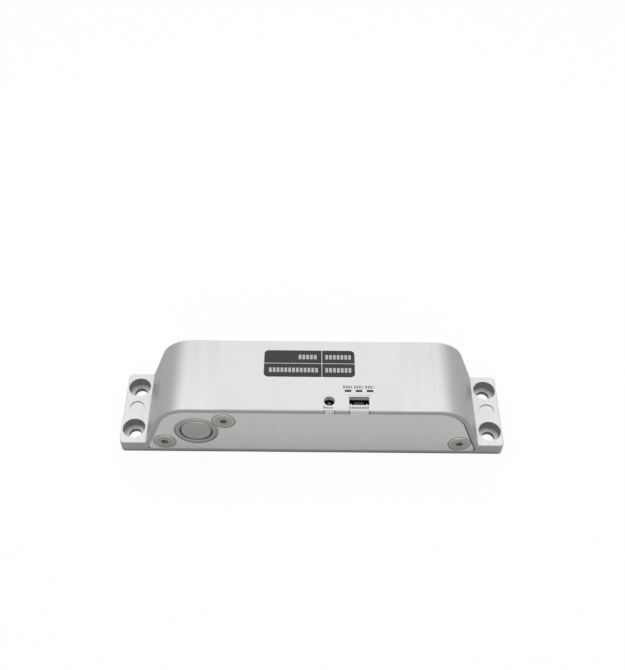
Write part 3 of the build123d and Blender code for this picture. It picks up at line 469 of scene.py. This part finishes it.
def label_finish():
    """Satin polyester film: a dark panel with two rules, three dashes, a score, and blocks for words."""
    f = Finish("label")
    u = f.x / MM
    v = (f.y - case_low.y) / MM
    panel = f.rounded_box(u, v, PANEL_CENTRE, PANEL_HALF, PANEL_CORNER)
    upright_rule = printed(abs(u - PANEL_RULES[0]) - RULE_HALF)
    rules = upright_rule.most(printed(abs(v - PANEL_RULES[1]) - RULE_HALF))
    words = block_rows(f, u, v, PANEL_PRINT, PANEL_PITCH, PANEL_PRINT_HALF)
    small = block_rows(f, u, v, SMALL_PRINT, SMALL_PITCH, SMALL_PRINT_HALF)
    ink = panel * (1.0 - rules * 0.8) * (1.0 - words * INK_PANEL_WORDS)
    ink = ink.most(small * INK_SMALL_PRINT)
    for centre in DASH_CENTRES:
        ink = ink.most(f.rounded_box(u, v, (centre, DASH_FRONT), DASH_HALF, 0.15))
    ink = ink.most(f.rounded_box(u, v, SCORE_CENTRE, SCORE_HALF, 0.1) * INK_SCORE)
    speck = f.noise(f.place, 5200.0, 2.0)
    cloud = f.noise(f.place, 60.0, 2.0)
    film = f.mix(cloud, tone(0.83, 0.0, 0.006), tone(0.86, 0.0, 0.008))
    black = f.mix(speck, tone(0.031, 0.0, 0.01), tone(0.045, 0.0, 0.01))
    colour = f.mix(ink, film, black)
    rough = 0.38 + speck * 0.12 - ink * 0.04
    relief = speck * 0.5 + cloud * 0.5 + ink * 0.4
    return f.surface(
        Base_Color=colour,
        Roughness=rough,
        Specular_IOR_Level=0.3,
        Normal=f.bump(relief, 0.012 * MM, 0.3),
    )


def ink_finish():
    """Screen-printed ink, a little uneven."""
    f = Finish("label_ink")
    speck = f.noise(f.place, 5200.0, 2.0)
    colour = f.mix(speck, tone(0.06), tone(0.11))
    return f.surface(Base_Color=colour, Roughness=0.4 + speck * 0.15)


def moulded_finish(name, low, high, rough):
    """Moulded plastic: a spark-eroded grain and a slow change of tone."""
    f = Finish(name)
    grain = f.noise(f.place, 4000.0, 2.0)
    cloud = f.noise(f.place, 220.0, 2.0)
    colour = f.mix(cloud * 0.7 + grain * 0.3, (*low, 1.0), (*high, 1.0))
    return f.surface(
        Base_Color=colour,
        Roughness=rough + grain * 0.14,
        Normal=f.bump(grain, 0.01 * MM, 0.5),
    )


# Sizes on the board's own pieces
BOARD_RING = 3.3 * MM
STRIPE_FROM = 2.6 * MM
CROWN_RADIUS = 3.1 * MM
CROWN_DEPTH = 1.0 * MM
RECESS_FROM = 1.0 * MM
RECESS_ROOF = 0.5 * MM
LEAD_FROM = 6.6 * MM


def board_finish(holes):
    """Green resist over copper tracks, bare rings round the screw holes, and a laminate edge."""
    f = Finish("board")
    weave = f.noise(f.stretched(1400.0, 1400.0, 300.0), 1.0, 1.0)
    lanes = f.node(
        "ShaderNodeTexBrick",
        {"offset": 0.5, "squash": 1.0},
        {
            "Vector": f.stretched(1.0, 1.0, 0.0),
            "Scale": 1.0 / (10 * MM),
            "Mortar Size": 0.035,
            "Mortar Smooth": 0.2,
            "Brick Width": 1.3,
            "Row Height": 0.38,
        },
        "Fac",
    )
    ring = None
    for hole in holes:
        away = distance(f.x - hole.x, f.y - hole.y)
        near = (0.5 - (away - BOARD_RING) / (0.1 * MM)).clamped()
        ring = near if ring is None else ring.most(near)
    edge = 1.0 - (f.facing(Z_AXIS) > 0.5)
    resist = f.mix(lanes, (0.012, 0.115, 0.042, 1.0), (0.03, 0.22, 0.08, 1.0))
    laminate = f.mix(weave, (0.34, 0.33, 0.15, 1.0), (0.48, 0.46, 0.24, 1.0))
    colour = f.mix(edge, resist, laminate)
    colour = f.mix(ring * (1.0 - edge), colour, (0.72, 0.73, 0.74, 1.0))
    return f.surface(
        Base_Color=colour,
        Roughness=0.26 + weave * 0.12 + edge * 0.35,
        Metallic=ring * (1.0 - edge) * 0.9,
        Normal=f.bump(lanes * 0.7 + weave * 0.3, 0.03 * MM, 0.6),
    )


def capacitor_finish(centre):
    """A dark shrunk sleeve with one pale stripe, and the bare can at its crown."""
    f = Finish("capacitor")
    low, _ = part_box("capacitor")
    stripe = ((f.x - centre.x) > STRIPE_FROM) * (f.facing(Z_AXIS) < 0.5)
    away = distance(f.x - centre.x, f.y - centre.y)
    crown = (away < CROWN_RADIUS) * (f.z < low.z + CROWN_DEPTH)
    grain = f.noise(f.place, 1500.0, 2.0)
    colour = f.mix(grain, (0.018, 0.020, 0.045, 1.0), (0.032, 0.034, 0.065, 1.0))
    colour = f.mix(stripe, colour, (0.55, 0.57, 0.60, 1.0))
    colour = f.mix(crown, colour, (0.70, 0.71, 0.72, 1.0))
    return f.surface(
        Base_Color=colour,
        Roughness=0.25 + grain * 0.1,
        Metallic=crown,
        Normal=f.bump(grain, 0.01 * MM, 0.4),
    )


def terminal_finish():
    """Green moulding with a plated clamp screw in each recess underneath."""
    f = Finish("terminal")
    low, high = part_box("terminal_block")
    grain = f.noise(f.place, 3500.0, 2.0)
    recess = (f.z > low.z + RECESS_FROM) * (f.z < high.z - RECESS_ROOF)
    deep = recess * (f.facing(Z_AXIS) > 0.5)
    colour = f.mix(grain, (0.018, 0.17, 0.055, 1.0), (0.03, 0.24, 0.08, 1.0))
    colour = f.mix(deep, colour, (0.62, 0.63, 0.64, 1.0))
    return f.surface(
        Base_Color=colour,
        Roughness=0.34 + grain * 0.12,
        Metallic=deep,
        Normal=f.bump(grain, 0.01 * MM, 0.4),
    )


def lamp_finish():
    """Smoked lens of an unlit lamp."""
    f = Finish("lamp")
    haze = f.noise(f.place, 900.0, 2.0)
    colour = f.mix(haze, (0.03, 0.03, 0.033, 1.0), (0.07, 0.07, 0.077, 1.0))
    return f.surface(Base_Color=colour, Roughness=0.06 + haze * 0.06, Coat_Weight=0.6)


def reed_finish():
    """Glass tube with plated leads beyond its sealed ends."""
    f = Finish("glass")
    low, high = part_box("reed_switch")
    middle = (low + high) / 2
    lead = abs(f.x - middle.x) > LEAD_FROM
    haze = f.noise(f.place, 1200.0, 2.0)
    colour = f.mix(haze, (0.50, 0.60, 0.57, 1.0), (0.62, 0.70, 0.66, 1.0))
    colour = f.mix(lead, colour, (0.66, 0.66, 0.64, 1.0))
    return f.surface(Base_Color=colour, Roughness=0.05 + haze * 0.08, Metallic=lead, Coat_Weight=0.8)


def solid_centres(name, parts):
    """Centres of a node's separate solids, from where their points gather."""
    points = [v.co.copy() for v in frame["nodes"][name].data.vertices]
    centres = [points[0]]
    while len(centres) < parts:
        centres.append(max(points, key=lambda p: min((p - c).length for c in centres)))
    groups = [[] for _ in centres]
    for point in points:
        nearest = min(range(parts), key=lambda i: (point - centres[i]).length)
        groups[nearest].append(point)
    return [
        Vector([(min(p[i] for p in group) + max(p[i] for p in group)) / 2 for i in range(3)])
        for group in groups
    ]


# Each CAD node's material

dress(housing_finish(), "housing")
dress(label_finish(), "label_film")
bolt_axis = middle_of("bolt")
bolt_steel = turned_finish("bolt_steel", 0.54, [bolt_axis], Y_AXIS, 0.30, (0.008, -0.04))
dress(bolt_steel, "bolt")
# painted shade: the bush is darker inside its lip, round the bolt
bush_shade_rims = [(0.0, 0.45), (BUSH_LIP, 1.0)]
bush_steel = turned_finish("bush_steel", 0.49, [bolt_axis], Y_AXIS, 0.34, (0.0, -0.02), bush_shade_rims)
dress(bush_steel, "bolt_guide_bush")
# painted highlight: screw heads are brighter on their rim
head_highlight_rims = [(SCREW_RIM, 1.25)]
# each cover's rings of painted shadow, round the bush and the screw heads
shaded_rings = {"front_cover": [(bolt_axis, BUSH_RING)], "back_cover": []}
for cover, rings in shaded_rings.items():
    screws = cover + "_screws"
    centres = solid_centres(screws, 3)
    rings += [(centre, SCREW_SINK) for centre in centres]
    dress(turned_finish(screws, 0.52, centres, Y_AXIS, 0.28, (-0.012, -0.06), head_highlight_rims), screws)
    dress(cover_finish(cover + "_aluminium", rings), cover)
small_screws = (
    ("mechanism_plate_screws", 4, Z_AXIS),
    ("bracket_screws", 2, Z_AXIS),
    ("board_screws", 4, Z_AXIS),
    ("solenoid_screws", 2, X_AXIS),
)
for group, parts, axis in small_screws:
    dress(turned_finish(group, 0.60, solid_centres(group, parts), axis, 0.26), group)
standoffs = solid_centres("board_standoffs", 4)
pale_brass = turned_finish("board_standoffs", 0.62, standoffs, Z_AXIS, 0.3, (0.1, -0.1))
dress(pale_brass, "board_standoffs")
dress(turned_finish("pin_steel", 0.58, [middle_of("bolt_cross_pin")], Z_AXIS, 0.2), "bolt_cross_pin")
dress(turned_finish("clevis_pin_steel", 0.58, [middle_of("clevis_pin")], Z_AXIS, 0.2), "clevis_pin")
post_brass = turned_finish("post_brass", 0.60, [middle_of("pivot_post")], Z_AXIS, 0.22, (0.2, -0.2))
dress(post_brass, "pivot_post")
rod_axis = middle_of("push_rod")
dress(turned_finish("rod_steel", 0.58, [rod_axis], X_AXIS, 0.2), "push_rod", "spring_retainer")
dress(turned_finish("magnet_iron", 0.55, [rod_axis], X_AXIS, 0.28), "solenoid_core", "solenoid_plunger")
plate_zinc = plated_finish("plate_zinc", 0.62, (0.01, -0.01))
dress(plate_zinc, "mechanism_plate", "solenoid_bracket", "solenoid_frame")
dress(plated_finish("crank_zinc", 0.58, (-0.01, 0.01)), "bell_crank", "rod_clevis", "pivot_clip")
dress(copper_winding_finish(), "solenoid_coil")
dress(tinned_finish(), "selector_pins")
dress(board_finish(solid_centres("board_screws", 4)), "circuit_board")
dress(capacitor_finish(middle_of("capacitor")), "capacitor")
dress(terminal_finish(), "terminal_block")
dress(lamp_finish(), "status_lamp")
dress(reed_finish(), "reed_switch")
black_rubber = moulded_finish("black_rubber", (0.020, 0.020, 0.020), (0.034, 0.034, 0.034), 0.72)
dress(black_rubber, "bolt_bumper", "cable_grommet")
black_plastic = moulded_finish("black_plastic", (0.022, 0.022, 0.024), (0.036, 0.036, 0.038), 0.42)
dress(black_plastic, "jumper_cap", "selector_header", "lamp_spacer", "reed_holder")
dress(moulded_finish("natural_nylon", (0.66, 0.64, 0.58), (0.76, 0.74, 0.68), 0.38), "solenoid_bobbin")
dress(moulded_finish("relay_case", (0.020, 0.085, 0.28), (0.035, 0.125, 0.36), 0.22), "relay")
dress(plated_finish("spring_zinc", 0.5), "return_spring")


# Pieces that the scene adds

FILM_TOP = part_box("label_film")[1].z
NUMBER_SIZE = 2.35 * MM
NUMBER_PROUD = 0.01 * MM
NUMBER_BOLD = 0.02 * MM
NUMBER_FRONT = case_low.y + SMALL_PRINT[0][1] * MM


def selector_numbers():
    """The selector's numbers 1, 2 and 3, printed on the film to be read from behind."""
    bpy.ops.object.select_all(action="DESELECT")
    pieces = []
    for number, centre in enumerate(reversed(DASH_CENTRES), 1):
        bpy.ops.object.text_add()
        piece = bpy.context.object
        piece.data.body = str(number)
        piece.data.size = NUMBER_SIZE
        piece.data.align_x = "CENTER"
        piece.data.align_y = "CENTER"
        piece.data.extrude = NUMBER_PROUD
        piece.data.offset = NUMBER_BOLD
        bpy.ops.object.convert(target="MESH")
        piece = bpy.context.object
        piece.rotation_euler.z = pi
        piece.location = ((centre + NUMBER_SIDE) * MM, NUMBER_FRONT, FILM_TOP)
        bpy.ops.object.transform_apply(location=True, rotation=True, scale=True)
        pieces.append(piece)
        piece.select_set(False)
    for piece in pieces:
        piece.select_set(True)
    bpy.context.view_layer.objects.active = pieces[0]
    bpy.ops.object.join()
    numbers = bpy.context.object
    numbers.name = "selector_numbers"
    numbers.data.materials.clear()
    numbers.data.materials.append(ink_finish())
    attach(numbers, "lock_body")


# The return spring, and the share of its length that it keeps at the end of the plunger's stroke
SPRING_TURNS = 5.5
WIRE_RADIUS = 0.4 * MM
CLOSED_PITCH = 2.06 * WIRE_RADIUS
SPRING_SIDES = 12
SPRING_STEPS = 48


def closed_end_shift(turn, run):
    """How far a turn lies from its place in an even helix, so that each end turn lies closed."""
    open_pitch = (run - 2 * CLOSED_PITCH) / (SPRING_TURNS - 2)
    if turn < 1:
        place = turn * CLOSED_PITCH
    elif turn > SPRING_TURNS - 1:
        place = run - (SPRING_TURNS - turn) * CLOSED_PITCH
    else:
        place = CLOSED_PITCH + (turn - 1) * open_pitch
    return place - turn / SPRING_TURNS * run


def wound_spring():
    """The return spring wound as a real one, with a closed turn at each end and its wire cut square."""
    low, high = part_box("return_spring")
    middle = (low + high) / 2
    coil_radius = (high.z - low.z) / 2 - WIRE_RADIUS
    run = high.x - low.x - 2 * WIRE_RADIUS
    bpy.ops.object.select_all(action="DESELECT")
    bpy.ops.mesh.primitive_circle_add(
        vertices=SPRING_SIDES,
        radius=WIRE_RADIUS,
        location=(0, 0, coil_radius),
        rotation=(0, pi / 2, pi / 2),
    )
    spring = bpy.context.object
    bpy.ops.object.transform_apply(location=True, rotation=True, scale=True)
    screw = spring.modifiers.new("coil", "SCREW")
    screw.axis = "X"
    screw.angle = 2 * pi * SPRING_TURNS
    screw.screw_offset = run
    screw.steps = int(SPRING_TURNS * SPRING_STEPS)
    screw.render_steps = screw.steps
    bpy.ops.object.modifier_apply(modifier=screw.name)
    for index, vertex in enumerate(spring.data.vertices):
        turn = index // SPRING_SIDES / SPRING_STEPS
        vertex.co.x += closed_end_shift(turn, run)
    spring.name = "wound_spring"
    bpy.ops.object.mode_set(mode="EDIT")
    bpy.ops.mesh.select_all(action="DESELECT")
    bpy.ops.mesh.select_non_manifold()
    bpy.ops.mesh.fill()
    bpy.ops.mesh.select_all(action="SELECT")
    bpy.ops.mesh.remove_doubles(threshold=0.001 * MM)
    bpy.ops.mesh.normals_make_consistent(inside=False)
    bpy.ops.object.mode_set(mode="OBJECT")
    spring.location = (low.x + WIRE_RADIUS, middle.y, middle.z)
    bpy.ops.object.transform_apply(location=True, rotation=True, scale=True)
    bpy.ops.object.shade_smooth_by_angle(angle=radians(40))
    spring.data.materials.append(wire_finish())
    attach(spring, "lock_body")
    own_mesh(spring)
    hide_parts("return_spring")


selector_numbers()
wound_spring()


# Setting: a pale floor, a soft sky and two soft lamps
FLOOR_SIZE = 8.0
FLOOR_BELOW = 0.02 * MM
FLOOR_TONE = 0.6
WHITE_TO_CAMERA = 0.9
WHITE_TO_METAL = 0.1
FLOOR_WHITE = 1.05
SKY_HORIZON = 0.5
SKY_OVERHEAD = 0.25
OVERHEAD_FROM = 0.75


def floor_finish():
    """Pale floor that looks white and keeps a light shadow, in the metal's reflections too."""
    f = Finish("floor")
    path = f.node("ShaderNodeLightPath", output="Is Camera Ray")
    mirrored = path.output("Is Glossy Ray").most(path.output("Is Transmission Ray"))
    lit = f.node("ShaderNodeBsdfDiffuse", sockets={"Color": tone(FLOOR_TONE)})
    white = f.node("ShaderNodeEmission", sockets={"Color": WHITE, "Strength": FLOOR_WHITE})
    share = (path * WHITE_TO_CAMERA).most(mirrored * WHITE_TO_METAL)
    f.node_output(f.node("ShaderNodeMixShader", sockets={0: share, 1: lit, 2: white}))
    return f.material


def lay_floor():
    bpy.ops.object.select_all(action="DESELECT")
    bpy.ops.mesh.primitive_plane_add(size=FLOOR_SIZE, location=(0, 0, -FLOOR_BELOW))
    floor = bpy.context.object
    floor.name = "floor"
    floor.data.materials.append(floor_finish())


def sky():
    """A plain studio sky, a little brighter at the horizon than overhead, and white to the camera."""
    world = bpy.data.worlds.new("studio")
    bpy.context.scene.world = world
    world.use_nodes = True
    tree = world.node_tree
    tree.nodes.clear()
    place = tree.nodes.new("ShaderNodeTexCoord")
    split = tree.nodes.new("ShaderNodeSeparateXYZ")
    ramp = tree.nodes.new("ShaderNodeValToRGB")
    ramp.color_ramp.elements[0].color = tone(SKY_HORIZON)
    ramp.color_ramp.elements[1].position = OVERHEAD_FROM
    ramp.color_ramp.elements[1].color = tone(SKY_OVERHEAD)
    light = tree.nodes.new("ShaderNodeBackground")
    white = tree.nodes.new("ShaderNodeBackground")
    path = tree.nodes.new("ShaderNodeLightPath")
    seen = tree.nodes.new("ShaderNodeMixShader")
    end = tree.nodes.new("ShaderNodeOutputWorld")
    tree.links.new(place.outputs["Generated"], split.inputs[0])
    tree.links.new(split.outputs["Z"], ramp.inputs["Fac"])
    tree.links.new(ramp.outputs["Color"], light.inputs["Color"])
    white.inputs["Color"].default_value = WHITE
    tree.links.new(path.outputs["Is Camera Ray"], seen.inputs[0])
    tree.links.new(light.outputs["Background"], seen.inputs[1])
    tree.links.new(white.outputs["Background"], seen.inputs[2])
    tree.links.new(seen.outputs["Shader"], end.inputs["Surface"])


def softbox(name, place, aim, width, depth, radiance):
    """A soft rectangular lamp, with its brightness to the eye as a radiance."""
    lamp = bpy.data.lights.new(name, "AREA")
    lamp.shape = "RECTANGLE"
    lamp.size = width
    lamp.size_y = depth
    lamp.energy = radiance * pi * width * depth
    holder = bpy.data.objects.new(name, lamp)
    holder.location = place
    holder.rotation_euler = (Vector(aim) - Vector(place)).to_track_quat("-Z", "Y").to_euler()
    bpy.context.scene.collection.objects.link(holder)


def photo_camera():
    """The camera that the photograph was taken with, set out from the front of the lock's base."""
    right = Vector((1, 0, 0))
    ahead = Vector((0, cos(VIEW_DIP), -sin(VIEW_DIP)))
    up = Vector((0, sin(VIEW_DIP), cos(VIEW_DIP)))
    rolled_right = right * cos(VIEW_ROLL) - up * sin(VIEW_ROLL)
    rolled_up = right * sin(VIEW_ROLL) + up * cos(VIEW_ROLL)
    eye = rolled_right * AIM_RIGHT + rolled_up * AIM_UP - ahead * VIEW_DISTANCE
    axes = Matrix((rolled_right, rolled_up, -ahead)).transposed().to_4x4()
    turn = Matrix.Rotation(-VIEW_TURN, 4, "Z")
    place = Matrix.Translation((0, case_low.y, 0)) @ turn @ Matrix.Translation(eye) @ axes
    camera = bpy.data.objects.new("camera", bpy.data.cameras.new("camera"))
    camera.data.sensor_width = SENSOR_MM
    camera.data.lens = FOCAL_PIXELS * SENSOR_MM / PICTURE_HEIGHT
    camera.data.clip_start = 0.01
    camera.data.clip_end = 50.0
    camera.matrix_world = place
    bpy.context.scene.collection.objects.link(camera)
    bpy.context.scene.camera = camera


lay_floor()
sky()
softbox("top_lamp", (0.0, 0.2, 0.85), (0.0, 0.0, 0.03), width=1.4, depth=0.9, radiance=1.58)
softbox("front_lamp", (0.0, -0.9, 0.38), (0.0, 0.0, 0.02), width=1.2, depth=0.5, radiance=1.0)
photo_camera()
bpy.context.scene.view_settings.view_transform = "Standard"
